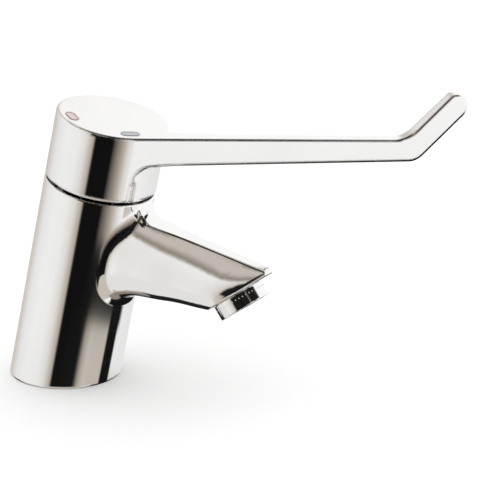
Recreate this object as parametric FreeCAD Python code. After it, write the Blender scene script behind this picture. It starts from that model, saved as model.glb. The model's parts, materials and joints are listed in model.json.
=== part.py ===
import FreeCAD, Part
import math
import os

# Elbow lever basin tap: a leaning round body with a forward spout, a flush
# round lever cap, and a long blade lever that is tangent to the cap's side.
# Millimetres. The origin is the centre of the base on the deck, +Z is up and
# +X is the way the body leans and the spout points.
#
# Most pieces are drawn in the axis frame, whose Z runs up the leaning body
# axis from the origin. "s" is the height along that axis and "u" is forward.
# Lever and rotor pieces are drawn with the lever along +u, then turned.

V = FreeCAD.Vector
UP = V(0, 0, 1)

# Driving dimensions: body and lever cap
lean = 13.0                  # degrees, body axis forward of vertical
body_radius = 25.0
cap_top = 127.0              # s of the cap's flat top
seam = cap_top - 31.2        # s of the middle of the gap under the cap
seam_gap = 1.2
base_edge_round = 1.0
rim_round = 0.5
cap_edge_round = 1.0
skirt_edge_round = 0.8
skirt_wall = 2.0
cap_roof = 3.0

# Driving dimensions: lever blade
lever_turn = 57.0            # degrees from the spout to the blade, cold side
blade_root_height = 13.0
blade_bend_height = 10.6
bend_reach = 138.7           # cap axis to the bend's inner corner
bend_angle = 50.0
tip_length = 33.0            # along the bent tip, from the inner corner
tip_height = 12.4
bend_inner_radius = 13.5
bend_outer_radius = 9.0
cheek_radius = 9.7           # fillet from the blade down the cap's side
cheek_run = 0.8              # how far the cheek passes the tangent line
cheek_start = 21.8
cheek_fall = 1.3
root_round = 2.0
blade_edge_round = 1.0
cove_radius = 2.05
cove_depth = 0.6
cove_turn = 5.0
cove_length = 8.5
mark_length = 8.4
mark_width = 3.8
mark_depth = 0.6
mark_circle = body_radius - 5.4

# Driving dimensions: tilt of the lever
pivot_height = 14.0          # above the cap's lower edge
tilt_max = 20.0
dish_clearance = 0.35
dish_depth = 22.0            # below the pivot
turn_range = 100.0
foot_drop = 16.0             # pivot to the spindle's foot

# Driving dimensions: spout and outlet
spout_top = seam - 7.8       # s of the spout's narrow flat top
outlet_tilt = 35.6           # degrees, stream forward of vertical
outlet_x = 95.8              # centre of the aerator's lower rim
outlet_z = 46.7
spout_edge_round = 1.5
root_blend = 8.0             # fillet between the spout and the barrel
lip_round = 1.4
nose_round = 1.6
aerator_drop = 6.9
aerator_radius = 11.8
aerator_thread_radius = 10.9
aerator_bore_depth = 9.0
aerator_wall = 1.5

# Driving dimensions: cartridge
fit_gap = 0.1
seat_gap = 0.05
housing_radius = 13.4
housing_wall = 1.0
flange_radius = 14.4
nut_radius = 15.4
neck_radius = 9.7
disc_thickness = 3.4
carrier_height = 5.0
base_thickness = 3.5
spindle_width = 7.0
spindle_hub = 3.4
pin_radius = 1.5
foot_radius = 2.4
arm_half = 1.6

# Driving dimensions: underside
stud_radius = 3.4            # M8 thread, wall at its minor diameter
stud_depth = 14.0
inlet_radius = 4.5           # M10 x 1 thread
inlet_depth = 12.0
inlet_offset = 11.0
seal_inner = 18.6
seal_outer = 21.6
seal_depth = 1.5

# Worked out from the driving dimensions
body_top = seam - seam_gap / 2
cap_bottom = seam + seam_gap / 2
pivot = cap_bottom + pivot_height
cavity_radius = body_radius - skirt_wall
skirt_corner = math.hypot(body_radius - skirt_edge_round, pivot_height - skirt_edge_round)
dish_radius = skirt_corner + skirt_edge_round + dish_clearance
dish_floor = pivot - dish_depth
foot = pivot - foot_drop
carrier_top = foot + 1.5
carrier_bottom = carrier_top - carrier_height
moving_bottom = carrier_bottom - seat_gap - disc_thickness
fixed_bottom = moving_bottom - seat_gap - disc_thickness
base_bottom = fixed_bottom - seat_gap - base_thickness
bore_floor = base_bottom - seat_gap
flange_top = fixed_bottom + 2.0
housing_inner = housing_radius - housing_wall
shelf = carrier_top + fit_gap + 1.4
housing_top = shelf + 5.0
head_top = pivot - 3.0
ear_top = pivot + spindle_hub
slide_ratio = foot_drop * 0.99
carrier_travel = slide_ratio * math.radians(tilt_max)
port_in = (-5.5, 5.0)
port_out = 6.0
port_in_radius = 2.6
port_out_radius = 3.2


def cylinder(radius, s0, s1, u=0.0, v=0.0):
    """An upright cylinder from s0 to s1."""
    return Part.makeCylinder(radius, s1 - s0, V(u, v, s0), UP)


def rod(radius, start, end):
    """A round bar from one point to another."""
    return Part.makeCylinder(radius, (end - start).Length, start, end - start)


def ring(outer, inner, s0, s1, u=0.0, v=0.0):
    return cylinder(outer, s0, s1, u, v).cut(cylinder(inner, s0 - 1, s1 + 1, u, v))


def block(u0, u1, v0, v1, s0, s1):
    return Part.makeBox(u1 - u0, v1 - v0, s1 - s0, V(u0, v0, s0))


def fuse_all(first, *others):
    return first.fuse(list(others)).removeSplitter()


def leaned(shape):
    """From the axis frame to the row frame."""
    out = shape.copy()
    out.rotate(V(0, 0, 0), V(0, 1, 0), lean)
    return out


def turned(shape):
    """A piece drawn with the lever along +u, turned to rest and leaned."""
    out = shape.copy()
    out.rotate(V(0, 0, 0), UP, lever_turn)
    return leaned(out)


def to_axis(x, z):
    """A point of the row frame's XZ plane, in the axis frame."""
    a = math.radians(lean)
    return V(x * math.cos(a) - z * math.sin(a), 0, x * math.sin(a) + z * math.cos(a))


def rounded_wire(points, radii):
    """A closed outline whose corners are arcs of the given radii."""
    edges = []
    count = len(points)
    starts, ends = [], []
    for i, (point, radius) in enumerate(zip(points, radii)):
        back = (points[i - 1] - point).normalize()
        ahead = (points[(i + 1) % count] - point).normalize()
        half = math.acos(max(-1.0, min(1.0, back.dot(ahead)))) / 2
        run = radius / math.tan(half) if radius else 0.0
        starts.append(point + back * run)
        ends.append(point + ahead * run)
        if radius:
            middle = (back + ahead).normalize()
            centre = point + middle * (radius / math.sin(half))
            edges.append((i, Part.Arc(starts[i], centre - middle * radius, ends[i]).toShape()))
    outline = []
    arcs = dict(edges)
    for i in range(count):
        if i in arcs:
            outline.append(arcs[i])
        nxt = (i + 1) % count
        if (starts[nxt] - ends[i]).Length > 1e-6:
            outline.append(Part.LineSegment(ends[i], starts[nxt]).toShape())
    return Part.Wire(Part.__sortEdges__(outline))


# The outlet: its plane is square to the stream
stream_angle = math.radians(outlet_tilt + lean)
stream = V(math.sin(stream_angle), 0, -math.cos(stream_angle))
outlet_rim = to_axis(outlet_x, outlet_z)
outlet_face = outlet_rim - stream * aerator_drop
aerator_seat = outlet_face - stream * aerator_bore_depth


def spout_section(u, top_half, half_width, bottom):
    """One upright section of the spout: narrow flat top, round belly."""
    r = spout_edge_round
    fall = math.radians(42)
    arc_end = V(u, top_half + r * math.sin(fall), spout_top - r * (1 - math.cos(fall)))
    arc_mid = V(u, top_half + r * math.sin(fall / 2), spout_top - r * (1 - math.cos(fall / 2)))
    belly = V(u, half_width, spout_top - 0.6 * (spout_top - bottom))
    side = Part.BSplineCurve()
    side.interpolate(Points=[arc_end, belly, V(u, 0, bottom)],
                     Tangents=[V(0, math.cos(fall), -math.sin(fall)), V(0, 0, -1), V(0, -1, 0)],
                     TangentFlags=[True, True, True])
    right = [Part.Arc(V(u, top_half, spout_top), arc_mid, arc_end).toShape(), side.toShape()]
    mirror = FreeCAD.Matrix()
    mirror.scale(1, -1, 1)
    left = [edge.transformGeometry(mirror) for edge in right]
    flat = Part.LineSegment(V(u, -top_half, spout_top), V(u, top_half, spout_top)).toShape()
    return Part.Wire([flat, right[0], right[1], left[1], left[0]])


# Spout stations: u, half of the flat top, half of the width, s of the keel
SPOUT = [
    (8.0, 7.4, 16.8, 44.0),
    (24.0, 6.2, 16.4, 49.6),
    (30.0, 5.5, 16.1, 52.2),
    (37.0, 4.8, 15.8, 54.4),
    (45.0, 4.1, 15.4, 56.2),
    (52.0, 3.7, 14.9, 58.0),
    (64.0, 3.2, 14.5, 60.2),
    (75.0, 2.9, 13.6, 62.6),
    (84.0, 2.6, 10.8, 65.0),
    (92.0, 2.2, 6.2, 68.0),
    (98.0, 2.0, 3.6, 70.0),
]


def make_spout():
    loft = Part.makeLoft([spout_section(*row) for row in SPOUT], True, False)
    spout = loft.cut(Part.makeCylinder(60, 60, outlet_face, stream))
    lips = [e for e in spout.Edges
            if abs((e.CenterOfMass - outlet_face).dot(stream)) < 0.05 and e.BoundBox.XLength > 0.02]
    spout = spout.makeFillet(lip_round, lips)
    # The nose, where the flat top meets the outlet plane
    along = V(-stream.z, 0, stream.x)
    corner = outlet_face + along * ((spout_top - outlet_face.z) / along.z)
    inward = (V(-1, 0, 0) - along).normalize()
    half = math.acos(-along.x * -1) / 2
    centre = corner + inward * (0.99 * nose_round / math.sin(half))
    outward = (corner - centre).normalize()
    corners = [centre, centre + V(0, 0, 4), corner + outward * 6, centre + stream * 4, centre]
    wedge = Part.Face(Part.makePolygon([c - V(0, 30, 0) for c in corners]))
    wedge = wedge.extrude(V(0, 60, 0))
    across = Part.makeCylinder(nose_round, 80, centre + V(0, -40, 0), V(0, 1, 0))
    return spout.cut(wedge.cut(across))


def on_barrel(edge):
    """Whether an edge lies on the barrel's wall, below the spout's top."""
    middle = edge.valueAt((edge.FirstParameter + edge.LastParameter) / 2)
    return (abs(math.hypot(middle.x, middle.y) - body_radius) < 0.02
            and middle.x > 3 and 20 < middle.z < spout_top + 2)


def make_body():
    shell = cylinder(body_radius, -12, body_top)
    rim = [e for e in shell.Edges if abs(e.CenterOfMass.z - body_top) < 0.01 and len(e.Vertexes) == 1]
    shell = shell.makeFillet(rim_round, rim)
    body = shell.fuse(make_spout())
    # The spout's sides and belly run into the barrel in one wide blend
    root = [e for e in body.Edges if len(e.Vertexes) == 2 and on_barrel(e)
            and min(v.Point.z for v in e.Vertexes) < spout_top - 4]
    body = body.makeFillet(root_blend, root)

    dish = Part.makeSphere(dish_radius, V(0, 0, pivot))
    dish = dish.common(cylinder(body_radius + 5, dish_floor, body_top + 5))
    bore = cylinder(nut_radius + fit_gap, flange_top - 1.1, dish_floor + 1)
    seat = cylinder(flange_radius + fit_gap, bore_floor, flange_top)
    body = body.cut([dish, bore, seat])

    # Waterways: two inlets rise from the base, one outlet runs to the aerator
    cuts = []
    for side in (-1, 1):
        port = leaned(Part.Vertex(V(port_in[0], side * port_in[1], bore_floor + 1))).Point
        top = V(0, side * inlet_offset, inlet_depth - 1)
        cuts.append(rod(2.6, top, port))
        cuts.append(Part.makeCylinder(inlet_radius, inlet_depth + 1, V(0, side * inlet_offset, -1), UP))
    knee = V(port_out + 9, 0, bore_floor - 9)
    channel = rod(port_out_radius, V(port_out, 0, bore_floor + 1), knee)
    channel = channel.fuse([Part.makeSphere(port_out_radius, knee),
                            rod(port_out_radius, knee, aerator_seat - stream * 2),
                            Part.makeSphere(port_out_radius, aerator_seat - stream * 2),
                            rod(port_out_radius, aerator_seat - stream * 2, aerator_seat + stream)])
    bore_out = Part.makeCylinder(aerator_thread_radius + fit_gap, aerator_bore_depth + 6,
                                 aerator_seat, stream)
    body = body.cut([channel, bore_out])

    body = leaned(body)
    body = body.cut(Part.makeBox(200, 200, 60, V(-100, -100, -60)))
    foot_edges = [e for e in body.Edges
                  if abs(e.BoundBox.ZMax) < 0.01 and e.BoundBox.XLength > 2 * body_radius]
    body = body.makeFillet(base_edge_round, foot_edges)
    groove = Part.makeCylinder(seal_outer, seal_depth + 1, V(0, 0, -1), UP).cut(
        Part.makeCylinder(seal_inner, seal_depth + 1, V(0, 0, -1), UP))
    stud = Part.makeCylinder(stud_radius, stud_depth + 1, V(0, 0, -1), UP)
    return body.cut([groove, stud] + cuts)


def make_base_seal():
    outer = Part.makeCylinder(seal_outer - seat_gap, seal_depth - seat_gap, V(0, 0, 0), UP)
    inner = Part.makeCylinder(seal_inner + seat_gap, seal_depth, V(0, 0, 0), UP)
    return outer.cut(inner)


# Blade width along its length: distance from the cap's axis, width
BLADE_WIDTHS = [(18.3, 8.2), (45.0, 7.1), (85.0, 6.55), (123.0, 6.15), (152.0, 5.3), (180.0, 4.2)]


def make_lever():
    # Plan outline: the near side runs on from the cap's rim, the far side tapers
    reach = bend_reach + tip_length
    far_points = [V(u, blade_width - body_radius, 0) for u, blade_width in BLADE_WIDTHS]
    r = root_round
    start = far_points[0]
    back = V(0, 0, 0)
    centre = V(math.sqrt((body_radius + r) ** 2 - (start.y + r) ** 2), start.y + r, 0)
    touch = centre * (body_radius / (body_radius + r))
    low = V(centre.x, start.y, 0)
    corner = (touch + low - centre * 2).normalize()
    side = Part.BSplineCurve()
    side.interpolate(Points=[low] + far_points[1:], InitialTangent=V(1, 0, 0),
                     FinalTangent=(far_points[-1] - far_points[-2]).normalize())
    end = V(far_points[-1].x, -body_radius, 0)
    edges = [Part.Arc(V(0, -body_radius, 0), V(-body_radius, 0, 0), touch).toShape(),
             Part.Arc(touch, centre + corner * r, low).toShape(),
             side.toShape(),
             Part.LineSegment(far_points[-1], end).toShape(),
             Part.LineSegment(end, V(0, -body_radius, 0)).toShape()]
    plan = Part.Face(Part.Wire(edges))
    plan.translate(V(0, 0, cap_bottom))
    lever = plan.extrude(V(0, 0, 90))

    # Side outline of the cap and blade, with the tip bent up
    a = math.radians(bend_angle)
    tip = V(math.cos(a), 0, math.sin(a))
    square = V(math.sin(a), 0, -math.cos(a))
    inner = V(bend_reach, 0, cap_top)
    end_inner = inner + tip * tip_length
    end_outer = end_inner + square * tip_height
    fall = (blade_root_height - blade_bend_height) / bend_reach
    start = inner + square * tip_height
    low = cap_top - blade_root_height
    run = (low + fall * start.x - start.z) / (tip.z - fall * tip.x)
    outer = start + tip * run
    clear = body_radius + root_round + 1
    joint = V(clear, 0, low + fall * clear)
    above = inner + tip * (tip_length + 12)
    points = [V(-clear, 0, cap_top), inner, above, V(above.x + 30, 0, above.z),
              V(above.x + 30, 0, cap_bottom - 1), V(-clear, 0, cap_bottom - 1)]
    outline = Part.Face(rounded_wire(points, [0, bend_inner_radius, 0, 0, 0, 0]))
    outline.translate(V(0, -body_radius - 5, 0))
    lever = lever.common(outline.extrude(V(0, 2 * body_radius + 10, 0)))
    rim = [e for e in lever.Edges if e.BoundBox.ZMin > cap_top - 0.01 and e.BoundBox.XMin < -1]
    lever = lever.makeFillet(blade_edge_round, rim)

    # Underside of the blade and the round end of its tip
    proud = square * -0.06
    far_up = V(0, 0, 80)
    last = end_inner + proud
    points = [last, end_outer, outer, joint, V(clear, 0, cap_bottom - 2), V(-clear, 0, cap_bottom - 2),
              V(-clear, 0, cap_top) + far_up, last - tip * 9 - square * 60, last - tip * 9]
    end_round = tip_height / 2 - 0.02
    keep = Part.Face(rounded_wire(points, [end_round, end_round, bend_outer_radius, 0, 0, 0, 0, 0, 0]))
    keep.translate(V(0, -body_radius - 5, 0))
    lever = lever.common(keep.extrude(V(0, 2 * body_radius + 10, 0)))

    # The cheek: the blade's underside turns down the cap's side
    cheek_top = low + fall * cheek_start
    points = [V(clear + 1, 0, low + fall * (clear + 1)), V(cheek_start, 0, cheek_top),
              V(cheek_run, 0, cheek_top - cheek_fall), V(cheek_run, 0, cap_bottom - 2),
              V(clear + 1, 0, cap_bottom - 2)]
    under = Part.Face(rounded_wire(points, [0, 0, cheek_radius, 0, 0]))
    under.translate(V(0, -body_radius - 5, 0))
    under = under.extrude(V(0, body_radius + 5, 0))
    lever = lever.cut(under.cut(cylinder(body_radius, 0, 200)))
    r = skirt_edge_round
    sharp = ring(body_radius + 3, body_radius - r, cap_bottom - 1, cap_bottom + r)
    lever = lever.cut(sharp.cut(Part.makeTorus(body_radius - r, r, V(0, 0, cap_bottom + r), UP)))

    # The cove beside the cheek, run out in a ball
    c = math.radians(cove_turn)
    off = body_radius + cove_radius - cove_depth
    cove_u, cove_v = off * math.sin(c) + cheek_run, -off * math.cos(c)
    cove = cylinder(cove_radius, cap_bottom - 2, cap_bottom + cove_length, cove_u, cove_v)
    ball = Part.makeSphere(cove_radius, V(cove_u, cove_v, cap_bottom + cove_length))
    lever = lever.cut([cove, ball])

    roof = cap_top - cap_roof
    lever = lever.cut(cylinder(cavity_radius, cap_bottom - 1, roof))
    boss = cylinder(boss_radius, boss_bottom, roof + 0.5)
    lever = fuse_all(lever, boss)
    half = bush_half + seat_gap
    socket = block(-half, half, -half, half, boss_bottom - 1, roof)
    plug_hole = rod(plug_radius + seat_gap, V(0, boss_radius + 2, screw_height),
                    V(0, body_radius + 2, screw_height))
    screw_hole = rod(screw_radius + seat_gap, V(0, 0, screw_height), V(0, boss_radius + 3, screw_height))
    lever = lever.cut([socket, plug_hole, screw_hole])
    return lever.cut([mark_prism(*row) for row in MARKS])


# Inside of the lever: boss, bush, screw and plug
boss_bottom = pivot + 6.8
boss_radius = 8.4
bush_half = spindle_width / 2 + 1.3
screw_height = (boss_bottom + cap_top - cap_roof) / 2
screw_radius = 2.5
plug_radius = 3.0

# The marks: angle from the blade, and s span
MARKS = [(180.0, mark_circle), (-90.0, mark_circle - 0.5)]


def mark_prism(angle, circle, sink=0.0):
    """A round-ended bar let into the cap's top, along the rim."""
    half = mark_length / 2 - mark_width / 2
    s0, s1 = cap_top - mark_depth + sink, cap_top + (0 if sink else 1)
    bar = block(-mark_width / 2, mark_width / 2, -half, half, s0, s1)
    ends = [cylinder(mark_width / 2, s0, s1, 0, side * half) for side in (-1, 1)]
    out = bar.fuse(ends).removeSplitter()
    out.translate(V(circle, 0, 0))
    out.rotate(V(0, 0, 0), UP, angle)
    return out


def make_mark(row):
    return mark_prism(row[0], row[1], seat_gap)


def make_spindle():
    half = spindle_width / 2
    hub = rod(spindle_hub, V(0, -half, pivot), V(0, half, pivot))
    arm = block(-arm_half, arm_half, -half, half, foot, pivot)
    ball = rod(foot_radius, V(0, -half, foot), V(0, half, foot))
    stem = block(-half, half, -half, half, pivot + 2.0, cap_top - cap_roof - 1.0)
    out = fuse_all(hub, arm, ball, stem)
    return out.cut(rod(pin_radius + 0.06, V(0, -9, pivot), V(0, 9, pivot)))


def make_bush():
    roof = cap_top - cap_roof
    inner = spindle_width / 2 + seat_gap
    out = block(-bush_half, bush_half, -bush_half, bush_half, boss_bottom, roof - seat_gap)
    out = out.cut(block(-inner, inner, -inner, inner, boss_bottom - 1, roof))
    return out.cut(rod(screw_radius + seat_gap, V(0, 0, screw_height), V(0, 9, screw_height)))


def make_grub_screw():
    tip = spindle_width / 2 + seat_gap
    tail = boss_radius + 1.4
    out = rod(screw_radius, V(0, tip, screw_height), V(0, tail, screw_height))
    key = Part.Face(Part.makePolygon([
        V(1.45 * math.cos(math.radians(k * 60)), tail, screw_height + 1.45 * math.sin(math.radians(k * 60)))
        for k in range(7)]))
    return out.cut(key.extrude(V(0, -2.5, 0)))


def make_plug():
    out = rod(plug_radius, V(0, cavity_radius - 1, screw_height), V(0, body_radius + 2, screw_height))
    out = out.common(cylinder(body_radius, 0, cap_top))
    return out.cut(cylinder(cavity_radius, 0, cap_top))


def make_rotor():
    flange = cylinder(housing_inner - 0.2, shelf - 1.3, shelf - fit_gap)
    neck = cylinder(neck_radius, shelf - 1.3, head_top)
    ears = block(-spindle_hub, spindle_hub, -7.5, 7.5, head_top - 1, pivot)
    ears = ears.fuse(rod(spindle_hub, V(0, -7.5, pivot), V(0, 7.5, pivot)))
    rails = [block(-7.3, 7.3, side * 8.7 - 0.8, side * 8.7 + 0.8, carrier_bottom + 0.8, shelf - 1)
             for side in (-1, 1)]
    lug = sector(11.3, neck_radius - 1, housing_top + 0.2, housing_top + 2.1, -15, 15)
    out = fuse_all(flange, neck, ears, lug, *rails)
    slot = block(-2.1, 7.0, -3.6, 3.6, carrier_bottom, pivot + 6)
    slot = slot.fuse(block(-2.1, 8.3, -3.6, 3.6, carrier_bottom, shelf + 1.0))
    gap = block(-12, 12, -3.6, 3.6, head_top, pivot + 6)
    groove = ring(neck_radius + 1, neck_radius - 1.1, shelf + 1.7, shelf + 3.5)
    hole = rod(pin_radius + 0.02, V(0, -9, pivot), V(0, 9, pivot))
    return out.cut([slot, gap, groove, hole])


def sector(outer, inner, s0, s1, a0, a1):
    """Part of a ring between two angles, in degrees from +u."""
    out = Part.makeCylinder(outer, s1 - s0, V(0, 0, s0), UP, a1 - a0)
    out = out.cut(cylinder(inner, s0 - 1, s1 + 1))
    out.rotate(V(0, 0, 0), UP, a0)
    return out


def make_rotor_seal():
    return ring(neck_radius + 0.05, neck_radius - 1.05, shelf + 1.75, shelf + 3.45)


def make_pin():
    return rod(pin_radius, V(0, -7.4, pivot), V(0, 7.4, pivot))


def make_carrier():
    out = cylinder(9.0, carrier_bottom, carrier_top, -carrier_travel / 2)
    out = out.common(block(-20, 20, -7.7, 7.7, 0, 200))
    half = foot_radius + 0.15
    return out.cut(block(-half, half, -3.65, 3.65, foot - foot_radius - 0.2, carrier_top + 1))


def make_moving_disc():
    out = cylinder(8.5, moving_bottom, moving_bottom + disc_thickness, -carrier_travel / 2)
    return out.cut(cylinder(4.6, moving_bottom - 1, moving_bottom + 1.8, -carrier_travel / 2 + 1.5))


def port_holes(s0, s1):
    holes = [cylinder(port_in_radius, s0, s1, port_in[0], side * port_in[1]) for side in (-1, 1)]
    return holes + [cylinder(port_out_radius, s0, s1, port_out)]


def make_fixed_disc():
    out = cylinder(housing_inner - fit_gap, fixed_bottom, fixed_bottom + disc_thickness)
    return out.cut(port_holes(fixed_bottom - 1, moving_bottom + 1))


def seal_rings(outer, inner, s0, s1):
    places = [(port_in[0], -port_in[1]), (port_in[0], port_in[1]), (port_out, 0)]
    return [ring(outer, inner, s0, s1, u, v) for u, v in places]


def make_port_seals():
    return Part.makeCompound(seal_rings(4.35, 3.3, base_bottom - seat_gap / 2, base_bottom + 1.5))


def make_cartridge_base():
    out = cylinder(flange_radius, base_bottom, base_bottom + base_thickness)
    recesses = [cylinder(4.4, base_bottom - 1, base_bottom + 1.55, u, v)
                for u, v in ((port_in[0], -port_in[1]), (port_in[0], port_in[1]), (port_out, 0))]
    groove = ring(flange_radius + 1, flange_radius - 1.4, base_bottom + 1.8, base_bottom + 3.0)
    return out.cut(recesses + port_holes(base_bottom - 1, fixed_bottom + 1) + [groove])


def make_cartridge_seal():
    return ring(flange_radius + 0.05, flange_radius - 1.35, base_bottom + 1.83, base_bottom + 2.97)


def make_housing():
    out = fuse_all(cylinder(flange_radius, fixed_bottom, flange_top),
                   cylinder(housing_radius, fixed_bottom, housing_top))
    cavity = cylinder(housing_inner, fixed_bottom - 1, shelf)
    return out.cut([cavity, cylinder(neck_radius + fit_gap, shelf - 1, housing_top + 1)])


def make_nut():
    out = ring(nut_radius, housing_radius + fit_gap, flange_top + seat_gap, dish_floor + 4.1)
    notches = [block(-1.5, 1.5, 10, 20, dish_floor + 2.3, dish_floor + 5) for _ in range(6)]
    for k, notch in enumerate(notches):
        notch.rotate(V(0, 0, 0), UP, k * 60)
    return out.cut(notches)


def make_stop_ring():
    s0, s1 = housing_top + seat_gap, housing_top + 2.2
    out = ring(13.3, 11.6, s0, s1)
    lug_clear = 1.0
    tab = sector(12.0, neck_radius + 0.4, s0, s1, 15 + lug_clear, 360 - 15 - turn_range - lug_clear)
    return out.fuse(tab).removeSplitter()


def make_aerator_housing():
    collar = Part.makeCylinder(aerator_radius, aerator_drop - 0.2, outlet_face + stream * 0.2, stream)
    edge = [e for e in collar.Edges
            if isinstance(e.Curve, Part.Circle) and (e.Curve.Center - outlet_rim).Length < 0.1]
    collar = collar.makeFillet(0.4, edge)
    thread = Part.makeCylinder(aerator_thread_radius, aerator_bore_depth - 1.8, outlet_face + stream * 0.3,
                               stream * -1)
    out = collar.fuse(thread).removeSplitter()
    inside = aerator_thread_radius - aerator_wall
    out = out.cut(Part.makeCylinder(inside, 30, outlet_rim - stream * 2.2, stream * -1))
    return out.cut(Part.makeCylinder(inside - 0.7, 10, outlet_rim + stream * 2, stream * -1))


def make_aerator_insert():
    inside = aerator_thread_radius - aerator_wall - seat_gap
    top = outlet_rim - stream * 3.35
    out = Part.makeCylinder(inside, 9.5, top, stream * -1)
    return out.cut(Part.makeCylinder(inside - 2.6, 5.0, top - stream * 9.5, stream))


def make_aerator_screen():
    """A honeycomb disc at the mouth, in rings of round holes."""
    inside = aerator_thread_radius - aerator_wall - seat_gap
    out = Part.makeCylinder(inside, 1.1, outlet_rim - stream * 2.22, stream * -1)
    across = V(0, 1, 0)
    along = stream.cross(across)
    holes = []
    for circle, count in ((0.0, 1), (2.7, 6), (5.4, 12), (7.9, 18)):
        for k in range(count):
            a = 2 * math.pi * k / count
            centre = outlet_rim + across * (circle * math.cos(a)) + along * (circle * math.sin(a))
            holes.append(Part.makeCylinder(0.95, 6, centre, stream * -1))
    return out.cut(holes)


def make_aerator_seal():
    start = aerator_seat + stream * seat_gap
    out = Part.makeCylinder(aerator_thread_radius - 0.1, 1.6, start, stream)
    return out.cut(Part.makeCylinder(aerator_thread_radius - 2.2, 4, start - stream, stream))


PIECES = {
    "tap_body": make_body,
    "base_seal": make_base_seal,
    "cartridge_housing": lambda: leaned(make_housing()),
    "cartridge_base": lambda: leaned(make_cartridge_base()),
    "fixed_ceramic_disc": lambda: leaned(make_fixed_disc()),
    "port_seals": lambda: leaned(make_port_seals()),
    "cartridge_seal": lambda: leaned(make_cartridge_seal()),
    "cartridge_nut": lambda: leaned(make_nut()),
    "temperature_stop_ring": lambda: turned(make_stop_ring()),
    "aerator_housing": lambda: leaned(make_aerator_housing()),
    "aerator_insert": lambda: leaned(make_aerator_insert()),
    "aerator_screen": lambda: leaned(make_aerator_screen()),
    "aerator_seal": lambda: leaned(make_aerator_seal()),
    "rotor": lambda: turned(make_rotor()),
    "rotor_seal": lambda: turned(make_rotor_seal()),
    "spindle_pin": lambda: turned(make_pin()),
    "lever": lambda: turned(make_lever()),
    "spindle": lambda: turned(make_spindle()),
    "lever_bush": lambda: turned(make_bush()),
    "grub_screw": lambda: turned(make_grub_screw()),
    "screw_plug": lambda: turned(make_plug()),
    "hot_mark": lambda: turned(make_mark(MARKS[0])),
    "cold_mark": lambda: turned(make_mark(MARKS[1])),
    "disc_carrier": lambda: turned(make_carrier()),
    "moving_ceramic_disc": lambda: turned(make_moving_disc()),
}

os.makedirs("parts", exist_ok=True)
for name, make in PIECES.items():
    piece = make()
    if not piece.isValid():
        print("not valid:", name)
    print("%-24s solids %d  volume %.1f" % (name, len(piece.Solids), piece.Volume))
    piece.exportStep("parts/%s.step" % name)
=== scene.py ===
import json
import math

import bpy
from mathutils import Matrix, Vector


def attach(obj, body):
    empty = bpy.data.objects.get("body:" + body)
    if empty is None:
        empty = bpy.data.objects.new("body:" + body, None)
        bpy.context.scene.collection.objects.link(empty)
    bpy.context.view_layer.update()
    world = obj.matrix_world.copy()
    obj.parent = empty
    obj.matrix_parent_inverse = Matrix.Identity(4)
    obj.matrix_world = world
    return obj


bl_info = {
    "name": "Elbow Lever Tap",
    "version": (1, 0, 0),
    "blender": (4, 5, 0),
    "location": "3D View > Sidebar > Tap",
    "description": "Finishes, mark lines, outlet beads and studio for an elbow lever basin tap",
    "category": "Object",
}

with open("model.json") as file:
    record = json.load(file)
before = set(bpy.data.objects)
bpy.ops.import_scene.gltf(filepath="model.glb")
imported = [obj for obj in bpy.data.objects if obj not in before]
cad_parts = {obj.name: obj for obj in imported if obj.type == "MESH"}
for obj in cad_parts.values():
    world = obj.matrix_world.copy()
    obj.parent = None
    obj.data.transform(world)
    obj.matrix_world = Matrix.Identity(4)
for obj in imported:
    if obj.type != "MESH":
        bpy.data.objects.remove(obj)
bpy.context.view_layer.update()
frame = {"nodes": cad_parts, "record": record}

# Body and cap share one axis, which leans forward from the middle of the foot
LEAN = math.radians(13.0)
AXIS = Vector((math.sin(LEAN), 0.0, math.cos(LEAN)))

# Camera
SENSOR_WIDTH = 36.0
CLIP_RANGE = (0.01, 50.0)

# Detail of the finishes. DARKEST is a finish's darkest place, as a share of its
# own colour
NOISE_DETAIL = 3.0
BUMP_HEIGHT = 0.0002
EDGE_SAMPLES = 8
DARKEST = 0.93

# Fineness of the small shapes
ARC_STEPS = 12
LINE_RESOLUTION = 2
BEAD_SEGMENTS = 12
BEAD_RINGS = 8

FLOAT = "NodeSocketFloat"
VECTOR = "NodeSocketVector"


class TapStudio(bpy.types.PropertyGroup):
    camera_place: bpy.props.FloatVectorProperty(
        name="Camera place", description="Where the camera stands",
        size=3, subtype="TRANSLATION", unit="LENGTH", default=(0.56052, -0.80646, 0.36135))
    camera_turn: bpy.props.FloatProperty(
        name="Camera turn", description="Compass turn of the camera's line of sight about the tap",
        subtype="ANGLE", default=math.radians(30.10))
    camera_drop: bpy.props.FloatProperty(
        name="Camera drop", description="How far the line of sight points below level",
        subtype="ANGLE", default=math.radians(16.97))
    lens: bpy.props.FloatProperty(
        name="Lens", description="Focal length on a 36 mm sensor, in millimetres", default=169.54)
    floor_size: bpy.props.FloatProperty(
        name="Floor size", description="Side of the square floor",
        unit="LENGTH", default=6.0)
    floor_colour: bpy.props.FloatVectorProperty(
        name="Floor colour", description="Colour of the floor's paper",
        size=3, subtype="COLOR", default=(0.95, 0.95, 0.95))
    floor_seen: bpy.props.FloatProperty(
        name="Floor seen", description="How much brighter the floor looks to the camera alone",
        default=1.16)
    room_light: bpy.props.FloatProperty(
        name="Room light", description="Strength of the even light from all round", default=1.0)


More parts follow.
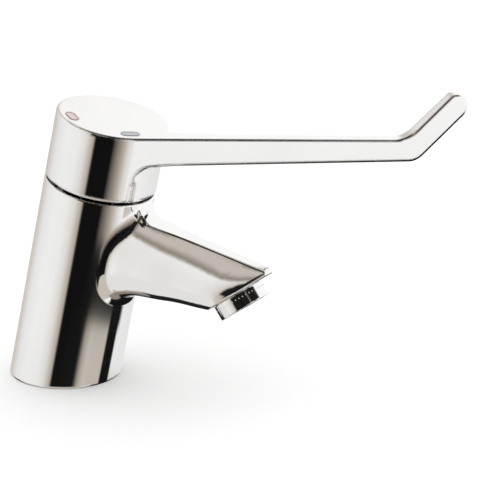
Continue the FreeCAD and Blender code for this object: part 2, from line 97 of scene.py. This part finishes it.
class TapFinish(bpy.types.PropertyGroup):
    chrome_colour: bpy.props.FloatVectorProperty(
        name="Chrome colour", description="Colour of the chrome plate",
        size=3, subtype="COLOR", default=(0.93, 0.925, 0.915))
    chrome_roughness: bpy.props.FloatProperty(
        name="Chrome roughness", description="Roughness of the clean chrome plate",
        subtype="FACTOR", min=0.0, max=1.0, default=0.04)
    body_edge: bpy.props.FloatProperty(
        name="Body edge", description="Softening of the body's polished edges",
        unit="LENGTH", default=0.0007)
    lever_edge: bpy.props.FloatProperty(
        name="Lever edge", description="Softening of the lever's polished edges",
        unit="LENGTH", default=0.002)
    ring_edge: bpy.props.FloatProperty(
        name="Ring edge", description="Softening of the outlet ring's edges",
        unit="LENGTH", default=0.0005)
    # These inside settings place painted shade: within them the chrome turns near-black, partly the
    # casting's unplated brass and partly shade in the seam gap and hollows.
    inside_radius: bpy.props.FloatProperty(
        name="Inside radius", description="Within this distance of the axis a casting is unplated",
        unit="LENGTH", default=0.0237)
    inside_lowest: bpy.props.FloatProperty(
        name="Inside lowest", description="Lowest unplated place, measured along the axis",
        unit="LENGTH", default=0.060)
    inside_highest: bpy.props.FloatProperty(
        name="Inside highest", description="Highest unplated place, measured along the axis",
        unit="LENGTH", default=0.1245)
    # Near-black: the dull unplated brass darkened further as painted shade.
    unplated_shade_colour: bpy.props.FloatVectorProperty(
        name="Inside colour", description="Colour of the dull unplated brass",
        size=3, subtype="COLOR", default=(0.012, 0.009, 0.006))


class TapMarks(bpy.types.PropertyGroup):
    length: bpy.props.FloatProperty(
        name="Mark length", description="Length of a mark along the cap's rim",
        unit="LENGTH", default=0.0084)
    width: bpy.props.FloatProperty(
        name="Mark width", description="Width of a mark across the cap's rim",
        unit="LENGTH", default=0.0038)
    line: bpy.props.FloatProperty(
        name="Line thickness", description="Thickness of the line round a mark",
        unit="LENGTH", default=0.00026)
    cap_top: bpy.props.FloatProperty(
        name="Cap top", description="Height of the cap's top along the axis",
        unit="LENGTH", default=0.127)
    hot_circle: bpy.props.FloatProperty(
        name="Hot mark circle", description="Distance from the axis to the hot mark's middle",
        unit="LENGTH", default=0.0196)
    cold_circle: bpy.props.FloatProperty(
        name="Cold mark circle", description="Distance from the axis to the cold mark's middle",
        unit="LENGTH", default=0.0191)
    lever_turn: bpy.props.FloatProperty(
        name="Lever turn", description="The blade's turn from the spout at rest",
        subtype="ANGLE", default=math.radians(57.0))


class TapOutlet(bpy.types.PropertyGroup):
    bead_count: bpy.props.IntProperty(
        name="Beads", description="Beads round the outlet ring", default=44)
    bead_radius: bpy.props.FloatProperty(
        name="Bead radius", description="Radius of one bead",
        unit="LENGTH", default=0.0003)
    bead_sink: bpy.props.FloatProperty(
        name="Bead sink", description="How far a bead's middle lies inside the ring",
        unit="LENGTH", default=0.00012)
    ring_radius: bpy.props.FloatProperty(
        name="Ring radius", description="Outer radius of the outlet ring",
        unit="LENGTH", default=0.0118)
    rim: bpy.props.FloatVectorProperty(
        name="Outlet rim", description="Centre of the outlet ring's lower rim",
        size=3, subtype="TRANSLATION", unit="LENGTH", default=(0.0958, 0.0, 0.0467))
    stream_tilt: bpy.props.FloatProperty(
        name="Stream tilt", description="The stream's tilt forward of straight down",
        subtype="ANGLE", default=math.radians(35.6))
    row_height: bpy.props.FloatProperty(
        name="Row height", description="Height of the bead row above the lower rim",
        unit="LENGTH", default=0.0046)


# Node helpers

def new_group(name, kind, inputs, outputs):
    """An empty node group, the values that it takes and the sockets that it gives."""
    group = bpy.data.node_groups.new(name, kind)
    for in_out, sockets in (("INPUT", inputs), ("OUTPUT", outputs)):
        for socket, socket_kind in sockets.items():
            group.interface.new_socket(name=socket, in_out=in_out, socket_type=socket_kind)
    take = group.nodes.new("NodeGroupInput").outputs
    give = group.nodes.new("NodeGroupOutput").inputs
    return group, take, give


def add_node(tree, kind, inputs=None, **settings):
    """A new node. Each of its inputs gets a value, or a link from another node."""
    node = tree.nodes.new(kind)
    for setting, value in settings.items():
        setattr(node, setting, value)
    for socket, value in (inputs or {}).items():
        if isinstance(value, bpy.types.NodeSocket):
            tree.links.new(value, node.inputs[socket])
        else:
            node.inputs[socket].default_value = value
    return node


def add_math(tree, operation, *values):
    node = add_node(tree, "ShaderNodeMath", dict(enumerate(values)), operation=operation)
    return node.outputs["Value"]


def add_vector(tree, operation, *values):
    node = add_node(tree, "ShaderNodeVectorMath", dict(enumerate(values)), operation=operation)
    return node.outputs


def add_mix(tree, mask, below, above):
    """The colour below, covered by the colour above as far as the mask says."""
    node = add_node(tree, "ShaderNodeMix", {"Factor": mask, "A": below, "B": above},
                    data_type="RGBA")
    return node.outputs["Result"]


def new_material(name):
    material = bpy.data.materials.new(name)
    material.use_nodes = True
    material.node_tree.nodes.clear()
    return material, material.node_tree


def paint(obj, material):
    obj.data.materials.clear()
    obj.data.materials.append(material)


# Finishes

def make_unevenness_group():
    """Slow unevenness and softened edges of a surface: a mask, a roughness and a normal."""
    group, take, give = new_group(
        "Surface Unevenness", "ShaderNodeTree",
        dict.fromkeys(("Scale", "Roughness", "Variation", "Bump", "Edge Round"), FLOAT),
        {"Mask": FLOAT, "Roughness": FLOAT, "Normal": VECTOR})
    where = add_node(group, "ShaderNodeTexCoord").outputs["Object"]
    noise = add_node(group, "ShaderNodeTexNoise", {
        "Vector": where, "Scale": take["Scale"], "Detail": NOISE_DETAIL}).outputs["Fac"]
    edge = add_node(group, "ShaderNodeBevel", {"Radius": take["Edge Round"]}, samples=EDGE_SAMPLES)
    bump = add_node(group, "ShaderNodeBump", {
        "Distance": BUMP_HEIGHT, "Normal": edge.outputs["Normal"],
        "Strength": take["Bump"], "Height": noise})
    rough = add_math(group, "MULTIPLY_ADD", noise, take["Variation"], take["Roughness"])
    group.links.new(noise, give["Mask"])
    group.links.new(rough, give["Roughness"])
    group.links.new(bump.outputs["Normal"], give["Normal"])


def make_unplated_shade_group():
    """A mask of the unplated inside, where shade is painted: near the axis, and between two heights
    along it.
    """
    group, take, give = new_group(
        "Unplated Shade Mask", "ShaderNodeTree",
        dict.fromkeys(("Radius", "Lowest", "Highest"), FLOAT), {"Mask": FLOAT})
    where = add_node(group, "ShaderNodeTexCoord").outputs["Object"]
    height = add_vector(group, "DOT_PRODUCT", where, AXIS)["Value"]
    off_axis = add_vector(group, "CROSS_PRODUCT", where, AXIS)["Vector"]
    radius = add_vector(group, "LENGTH", off_axis)["Value"]
    near = add_math(group, "LESS_THAN", radius, take["Radius"])
    above = add_math(group, "GREATER_THAN", height, take["Lowest"])
    below = add_math(group, "LESS_THAN", height, take["Highest"])
    mask = add_math(group, "MULTIPLY", add_math(group, "MULTIPLY", near, above), below)
    group.links.new(mask, give["Mask"])


def finish_material(name, base, metallic, roughness, variation, scale=80.0, bump=0.05, coat=0.0,
                    edge_round=0.0003):
    """A finish whose colour, roughness and normal follow the unevenness group."""
    material, tree = new_material(name)
    uneven = add_node(tree, "ShaderNodeGroup", node_tree=bpy.data.node_groups["Surface Unevenness"])
    for socket, value in (("Scale", scale), ("Roughness", roughness), ("Variation", variation),
                          ("Bump", bump), ("Edge Round", edge_round)):
        uneven.inputs[socket].default_value = value
    darkest = [level * DARKEST for level in base]
    shader = add_node(tree, "ShaderNodeBsdfPrincipled", {
        "Metallic": metallic, "Coat Weight": coat,
        "Base Color": add_mix(tree, uneven.outputs["Mask"], (*base, 1.0), (*darkest, 1.0)),
        "Roughness": uneven.outputs["Roughness"], "Normal": uneven.outputs["Normal"]})
    add_node(tree, "ShaderNodeOutputMaterial", {"Surface": shader.outputs["BSDF"]})
    return material


def unplate_and_paint_shade(material, finish):
    """Lets the inside of a chromed casting show near-black: partly its own unplated brass, partly
    painted shade in the seam gap and hollows.
    """
    tree = material.node_tree
    inside = add_node(tree, "ShaderNodeGroup", node_tree=bpy.data.node_groups["Unplated Shade Mask"])
    for socket, value in (("Radius", finish.inside_radius), ("Lowest", finish.inside_lowest),
                          ("Highest", finish.inside_highest)):
        inside.inputs[socket].default_value = value
    base = next(node for node in tree.nodes if node.type == "BSDF_PRINCIPLED").inputs["Base Color"]
    plated = base.links[0].from_socket
    # The inside colour is painted shade as well as dull brass, so the seam and hollows read dark.
    shaded = (*finish.unplated_shade_colour, 1.0)
    tree.links.new(add_mix(tree, inside.outputs["Mask"], plated, shaded), base)


# Finishes that aren't chrome: slot, name, colour, metallic, roughness,
# variation of the roughness, coat
PLAIN_FINISHES = [
    # The machined brass is painted near-black, far darker than brass: painted shade, so the brass
    # seen in the seam between lever and body reads black.
    ("bright_brass", "Machined Brass", (0.05, 0.035, 0.016), 1.0, 0.35, 0.1, 0.0),
    ("steel", "Bright Steel", (0.62, 0.62, 0.61), 1.0, 0.22, 0.1, 0.0),
    ("black_plastic", "Black Moulding", (0.03, 0.03, 0.032), 0.0, 0.45, 0.1, 0.0),
    ("white_plastic", "White Moulding", (0.83, 0.83, 0.81), 0.0, 0.4, 0.1, 0.0),
    ("grey_plastic", "Grey Moulding", (0.58, 0.592, 0.603), 0.0, 0.4, 0.1, 0.0),
    ("ceramic", "Ceramic Disc", (0.86, 0.85, 0.8), 0.0, 0.12, 0.05, 0.5),
    ("rubber", "Seal Rubber", (0.02, 0.02, 0.02), 0.0, 0.6, 0.15, 0.0),
    ("red_enamel", "Hot Inlay", (0.766, 0.615, 0.615), 0.0, 0.3, 0.05, 0.0),
    ("blue_enamel", "Cold Inlay", (0.51, 0.534, 0.58), 0.0, 0.3, 0.05, 0.0),
]


class TAP_OT_finishes(bpy.types.Operator):
    """Gives every piece of the tap its finish"""
    bl_idname = "tap.finishes"
    bl_label = "Finishes"

    def execute(self, context):
        finish = context.scene.tap_finish
        make_unevenness_group()
        make_unplated_shade_group()
        by_slot = {}
        for slot, part, edge_round in (("chrome_body", "Body", finish.body_edge),
                                       ("chrome_lever", "Lever", finish.lever_edge),
                                       ("chrome_ring", "Ring", finish.ring_edge)):
            chrome = finish_material("Chrome Plate " + part, finish.chrome_colour, metallic=1.0,
                                     roughness=finish.chrome_roughness, variation=0.02,
                                     scale=25.0, bump=0.0, edge_round=edge_round)
            unplate_and_paint_shade(chrome, finish)
            by_slot[slot] = chrome
        for slot, name, base, metallic, roughness, variation, coat in PLAIN_FINISHES:
            by_slot[slot] = finish_material(name, base, metallic, roughness, variation, coat=coat)
        slots = {row["node"]: row["material_slot"] for row in frame["record"]["subparts"]}
        for name, node in frame["nodes"].items():
            paint(node, by_slot[slots[name]])
        return {"FINISHED"}


# The studio that the chrome reflects. Directions are measured about the tap's
# own leaning axis: turn in degrees from the camera's side, positive to its
# right, and height in degrees above the axis's equator.

# Brightness of the wall all round: turn, level
WALL = [
    (-180.0, 0.62), (-150.0, 0.60), (-120.0, 0.86), (-90.0, 0.94), (-60.0, 0.92), (-44.0, 0.78),
    (-36.0, 0.58), (-29.0, 0.42), (-25.0, 0.006), (11.0, 0.006), (16.0, 0.09), (21.0, 0.18),
    (28.0, 0.30), (36.0, 0.46), (45.0, 0.74), (54.0, 0.96), (64.0, 0.97), (90.0, 0.94),
    (120.0, 0.88), (180.0, 0.80),
]

# Cards and flags, laid one over the other: name, then middle turn, half width,
# middle height, half height, softness of the sides, softness of the ends, level
CARDS = [
    ("White wall", 122.0, 66.0, 12.0, 31.0, 10.0, 3.0, 1.04),
    ("Side flag", 60.0, 9.0, 26.0, 17.0, 4.0, 4.0, 0.01),
    ("Ceiling left", -75.0, 75.0, 75.0, 31.0, 12.0, 6.0, 0.54),
    ("Ceiling line", -70.0, 70.0, 48.0, 4.0, 12.0, 4.0, 0.28),
    ("Ceiling right", 100.0, 90.0, 78.0, 25.0, 12.0, 4.0, 0.12),
    ("Top flag", 58.0, 40.0, 50.0, 5.5, 6.0, 2.5, 0.01),
    ("Tip flag", 115.0, 40.0, 59.0, 7.0, 8.0, 3.0, 0.01),
    ("Zenith", 0.0, 200.0, 90.0, 29.7, 10.0, 1.2, 0.012),
    ("Upper flag", -5.0, 29.0, 36.0, 9.0, 3.0, 3.0, 0.01),
    ("Lip flag", -23.0, 10.5, 14.0, 26.0, 2.5, 5.0, 0.01),
    ("Table left", -75.0, 36.0, -62.0, 32.0, 8.0, 4.0, 0.82),
    ("Table front", 5.0, 44.0, -61.0, 31.0, 5.0, 0.5, 0.56),
    ("Table right flag", 112.0, 48.0, -45.0, 17.5, 4.0, 0.7, 0.008),
    ("Low right", 100.0, 60.0, -76.0, 16.0, 8.0, 5.0, 0.26),
    ("Low back flag", -150.0, 40.0, -62.0, 26.0, 10.0, 5.0, 0.015),
    ("Low panel", 62.0, 26.0, -27.9, 2.2, 14.0, 0.5, 0.52),
    ("Low shade", 8.0, 15.0, -27.9, 2.2, 6.0, 0.5, 0.008),
    ("Step flag", 58.0, 50.0, -24.87, 1.03, 5.0, 0.12, 0.008),
    ("Right strip flag", 91.0, 13.0, -28.0, 4.2, 2.5, 0.6, 0.008),
]
CARD_SOCKETS = ("Middle Turn", "Half Width", "Middle Height", "Half Height",
                "Side Softness", "End Softness")

# The warm tint of the mid tones: the level where it starts to fade, over how
# far, the level and reach of its start in the blacks, and its red and blue
TINT_END, TINT_FADE = 0.86, 0.45
TINT_START, TINT_RISE = 0.01, 0.05
TINT_RED, TINT_BLUE = 0.13, 0.15


def warm(level):
    """A grey level as a colour, with the mid tones a little beige."""
    tint = max(0.0, min(1.0, (TINT_END - level) / TINT_FADE, (level - TINT_START) / TINT_RISE))
    return (level * (1 + TINT_RED * tint), level, level * (1 - TINT_BLUE * tint), 1.0)


def make_card_group():
    """A soft-edged window in turn and height, as a mask."""
    group, take, give = new_group(
        "Studio Card", "ShaderNodeTree",
        dict.fromkeys(("Turn", "Height", *CARD_SOCKETS), FLOAT), {"Mask": FLOAT})

    def window(away, half, softness):
        edge = add_node(group, "ShaderNodeMapRange", {
            "Value": add_math(group, "ABSOLUTE", away),
            "From Min": add_math(group, "ADD", half, softness),
            "From Max": add_math(group, "SUBTRACT", half, softness)},
            interpolation_type="SMOOTHSTEP")
        return edge.outputs["Result"]

    aside = add_math(group, "SUBTRACT", take["Turn"], take["Middle Turn"])
    aside = add_math(group, "WRAP", aside, 180.0, -180.0)
    upward = add_math(group, "SUBTRACT", take["Height"], take["Middle Height"])
    mask = add_math(group, "MULTIPLY", window(aside, take["Half Width"], take["Side Softness"]),
                    window(upward, take["Half Height"], take["End Softness"]))
    group.links.new(mask, give["Mask"])
    return group


def studio_world(studio):
    """The world: even light for everything but the mirror reflections, which see the cards."""
    world = bpy.data.worlds.new("Tap Studio")
    bpy.context.scene.world = world
    world.use_nodes = True
    tree = world.node_tree
    tree.nodes.clear()
    direction = add_node(tree, "ShaderNodeTexCoord").outputs["Generated"]
    toward = Vector((math.sin(studio.camera_turn), -math.cos(studio.camera_turn), 0.0))
    front = (toward - AXIS * toward.dot(AXIS)).normalized()
    right = AXIS.cross(front).normalized()

    def along(axis):
        return add_vector(tree, "DOT_PRODUCT", direction, axis)["Value"]

    turn = add_math(tree, "DEGREES", add_math(tree, "ARCTAN2", along(right), along(front)))
    height = add_math(tree, "DEGREES", add_math(tree, "ARCSINE", along(AXIS)))
    round_wall = add_node(tree, "ShaderNodeMapRange", {
        "Value": turn, "From Min": -180.0, "From Max": 180.0})
    ramp = add_node(tree, "ShaderNodeValToRGB", {"Fac": round_wall.outputs["Result"]})
    ramp.color_ramp.interpolation = "LINEAR"
    stops = ramp.color_ramp.elements
    while len(stops) > 1:
        stops.remove(stops[-1])
    for k, (wall_turn, level) in enumerate(WALL):
        position = (wall_turn + 180.0) / 360.0
        stop = stops[0] if k == 0 else stops.new(position)
        stop.position = position
        stop.color = warm(level)

    seen = ramp.outputs["Color"]
    group = make_card_group()
    for name, *shape, level in CARDS:
        card = add_node(tree, "ShaderNodeGroup", node_tree=group, label=name)
        tree.links.new(turn, card.inputs["Turn"])
        tree.links.new(height, card.inputs["Height"])
        for socket, value in zip(CARD_SOCKETS, shape):
            card.inputs[socket].default_value = value
        seen = add_mix(tree, card.outputs["Mask"], seen, warm(level))

    reflected = add_node(tree, "ShaderNodeBackground", {"Color": seen})
    even = add_node(tree, "ShaderNodeBackground",
                    {"Color": (1.0, 1.0, 1.0, 1.0), "Strength": studio.room_light})
    pick = add_node(tree, "ShaderNodeMixShader", {
        "Fac": add_node(tree, "ShaderNodeLightPath").outputs["Is Glossy Ray"],
        1: even.outputs["Background"], 2: reflected.outputs["Background"]})
    add_node(tree, "ShaderNodeOutputWorld", {"Surface": pick.outputs["Shader"]})


def floor_paper(studio):
    """Pale paper that the camera alone sees brighter, so that it is white and keeps its shadows."""
    material, tree = new_material("Studio Floor Paper")
    lit = add_node(tree, "ShaderNodeBsdfDiffuse", {"Color": (*studio.floor_colour, 1.0)})
    brighter = [level * studio.floor_seen for level in studio.floor_colour]
    shown = add_node(tree, "ShaderNodeBsdfDiffuse", {"Color": (*brighter, 1.0)})
    pick = add_node(tree, "ShaderNodeMixShader", {
        "Fac": add_node(tree, "ShaderNodeLightPath").outputs["Is Camera Ray"],
        1: lit.outputs["BSDF"], 2: shown.outputs["BSDF"]})
    add_node(tree, "ShaderNodeOutputMaterial", {"Surface": pick.outputs["Shader"]})
    return material


class TAP_OT_stage(bpy.types.Operator):
    """Makes the camera, the floor and the studio around the tap"""
    bl_idname = "tap.stage"
    bl_label = "Stage"

    def execute(self, context):
        scene = context.scene
        studio = scene.tap_studio
        scene.view_settings.view_transform = "Standard"
        data = bpy.data.cameras.new("Photo Camera")
        data.lens = studio.lens
        data.sensor_width = SENSOR_WIDTH
        data.clip_start, data.clip_end = CLIP_RANGE
        camera = bpy.data.objects.new("Photo Camera", data)
        scene.collection.objects.link(camera)
        camera.location = studio.camera_place
        camera.rotation_euler = (math.pi / 2 - studio.camera_drop, 0.0, studio.camera_turn)
        scene.camera = camera

        half = studio.floor_size / 2
        mesh = bpy.data.meshes.new("Studio Floor")
        mesh.from_pydata([(-half, -half, 0), (half, -half, 0), (half, half, 0), (-half, half, 0)],
                         [], [(0, 1, 2, 3)])
        floor = bpy.data.objects.new("Studio Floor", mesh)
        scene.collection.objects.link(floor)
        paint(floor, floor_paper(studio))
        floor.visible_glossy = False
        studio_world(studio)
        return {"FINISHED"}


# Mark lines and outlet beads

def add_piece(name, mesh, body):
    piece = bpy.data.objects.new(name, mesh)
    bpy.context.scene.collection.objects.link(piece)
    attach(piece, body)
    return piece


def on_axis_frame(u, v, s):
    """A point u forward and v aside of the leaning axis, and s along it."""
    forward = u * math.cos(LEAN) + s * math.sin(LEAN)
    up = -u * math.sin(LEAN) + s * math.cos(LEAN)
    return Vector((forward, v, up))


def mark_line_mesh(marks, circle, turn):
    """A thin closed line round a round-ended bar that lies along the cap's rim."""
    end = marks.width / 2
    straight = (marks.length - marks.width) / 2
    loop = []
    for side in (1, -1):
        for k in range(ARC_STEPS + 1):
            a = math.pi * k / ARC_STEPS
            loop.append((side * math.cos(a) * end, side * (straight + math.sin(a) * end)))
    curve = bpy.data.curves.new("Mark Line", "CURVE")
    curve.dimensions = "3D"
    curve.bevel_depth = marks.line / 2
    curve.bevel_resolution = LINE_RESOLUTION
    spline = curve.splines.new("POLY")
    spline.use_cyclic_u = True
    spline.points.add(len(loop) - 1)
    for point, (x, y) in zip(spline.points, loop):
        u = (circle + x) * math.cos(turn) - y * math.sin(turn)
        v = (circle + x) * math.sin(turn) + y * math.cos(turn)
        point.co = (*on_axis_frame(u, v, marks.cap_top), 1.0)
    holder = bpy.data.objects.new("Mark Line", curve)
    mesh = bpy.data.meshes.new_from_object(holder)
    bpy.data.objects.remove(holder)
    bpy.data.curves.remove(curve)
    return mesh


class TAP_OT_mark_lines(bpy.types.Operator):
    """Draws the thin outlines of the hot and cold marks"""
    bl_idname = "tap.mark_lines"
    bl_label = "Mark Lines"

    def execute(self, context):
        marks = context.scene.tap_marks
        for name, label, circle, past_lever, slot, base in (
                ("hot_mark_line", "Hot Mark Line", marks.hot_circle, math.pi, "red_enamel",
                 (0.232, 0.081, 0.081)),
                ("cold_mark_line", "Cold Mark Line", marks.cold_circle, -math.pi / 2, "blue_enamel",
                 (0.232, 0.244, 0.278))):
            mesh = mark_line_mesh(marks, circle, marks.lever_turn + past_lever)
            piece = add_piece(name, mesh, "lever_group")
            paint(piece, finish_material(label, base, metallic=0.0, roughness=0.35, variation=0.1,
                                         scale=300.0))
        return {"FINISHED"}


def make_bead_row_group():
    """A ring of beads about a tilted axis."""
    group, take, give = new_group(
        "Bead Row", "GeometryNodeTree",
        {"Geometry": "NodeSocketGeometry", "Beads": "NodeSocketInt", "Ring Radius": FLOAT,
         "Bead Radius": FLOAT, "Middle": VECTOR, "Tilt": VECTOR, "Finish": "NodeSocketMaterial"},
        {"Geometry": "NodeSocketGeometry"})
    ring = add_node(group, "GeometryNodeMeshCircle", {
        "Vertices": take["Beads"], "Radius": take["Ring Radius"]})
    bead = add_node(group, "GeometryNodeMeshUVSphere", {
        "Segments": BEAD_SEGMENTS, "Rings": BEAD_RINGS, "Radius": take["Bead Radius"]})
    copies = add_node(group, "GeometryNodeInstanceOnPoints", {
        "Points": ring.outputs["Mesh"], "Instance": bead.outputs["Mesh"]})
    placed = add_node(group, "GeometryNodeTransform", {
        "Geometry": copies.outputs["Instances"],
        "Translation": take["Middle"], "Rotation": take["Tilt"]})
    real = add_node(group, "GeometryNodeRealizeInstances", {"Geometry": placed.outputs["Geometry"]})
    finished = add_node(group, "GeometryNodeSetMaterial", {
        "Geometry": real.outputs["Geometry"], "Material": take["Finish"]})
    group.links.new(finished.outputs["Geometry"], give["Geometry"])
    return group


class TAP_OT_outlet_beads(bpy.types.Operator):
    """Sets the row of small grip beads round the outlet ring"""
    bl_idname = "tap.outlet_beads"
    bl_label = "Outlet Beads"

    def execute(self, context):
        outlet = context.scene.tap_outlet
        stream = Vector((math.sin(outlet.stream_tilt), 0.0, -math.cos(outlet.stream_tilt)))
        holder = bpy.data.objects.new("Bead Row", bpy.data.meshes.new("Bead Row"))
        context.scene.collection.objects.link(holder)
        modifier = holder.modifiers.new("Bead Row", "NODES")
        modifier.node_group = make_bead_row_group()
        values = {
            "Beads": outlet.bead_count,
            "Ring Radius": outlet.ring_radius - outlet.bead_sink,
            "Bead Radius": outlet.bead_radius,
            "Middle": tuple(Vector(outlet.rim) - stream * outlet.row_height),
            "Tilt": (0.0, -outlet.stream_tilt, 0.0),
            "Finish": bpy.data.materials["Chrome Plate Ring"],
        }
        for item in modifier.node_group.interface.items_tree:
            if item.in_out == "INPUT" and item.name in values:
                modifier[item.identifier] = values[item.name]
        context.view_layer.update()
        evaluated = holder.evaluated_get(context.evaluated_depsgraph_get())
        mesh = bpy.data.meshes.new_from_object(evaluated)
        bpy.data.objects.remove(holder)
        for polygon in mesh.polygons:
            polygon.use_smooth = True
        add_piece("outlet_beads", mesh, "tap")
        return {"FINISHED"}


class TAP_PT_panel(bpy.types.Panel):
    """Lists the tap's operators"""
    bl_idname = "TAP_PT_panel"
    bl_label = "Elbow Lever Tap"
    bl_space_type = "VIEW_3D"
    bl_region_type = "UI"
    bl_category = "Tap"

    def draw(self, context):
        for operator in OPERATORS:
            self.layout.operator(operator.bl_idname)


OPERATORS = (TAP_OT_stage, TAP_OT_finishes, TAP_OT_mark_lines, TAP_OT_outlet_beads)
SETTINGS = {"tap_studio": TapStudio, "tap_finish": TapFinish,
            "tap_marks": TapMarks, "tap_outlet": TapOutlet}
CLASSES = (*SETTINGS.values(), *OPERATORS, TAP_PT_panel)


def register():
    for cls in CLASSES:
        bpy.utils.register_class(cls)
    for name, settings in SETTINGS.items():
        setattr(bpy.types.Scene, name, bpy.props.PointerProperty(type=settings))


def unregister():
    for name in SETTINGS:
        delattr(bpy.types.Scene, name)
    for cls in reversed(CLASSES):
        bpy.utils.unregister_class(cls)


def main():
    register()
    bpy.ops.tap.stage()
    bpy.ops.tap.finishes()
    bpy.ops.tap.mark_lines()
    bpy.ops.tap.outlet_beads()


if __name__ == "__main__":
    main()
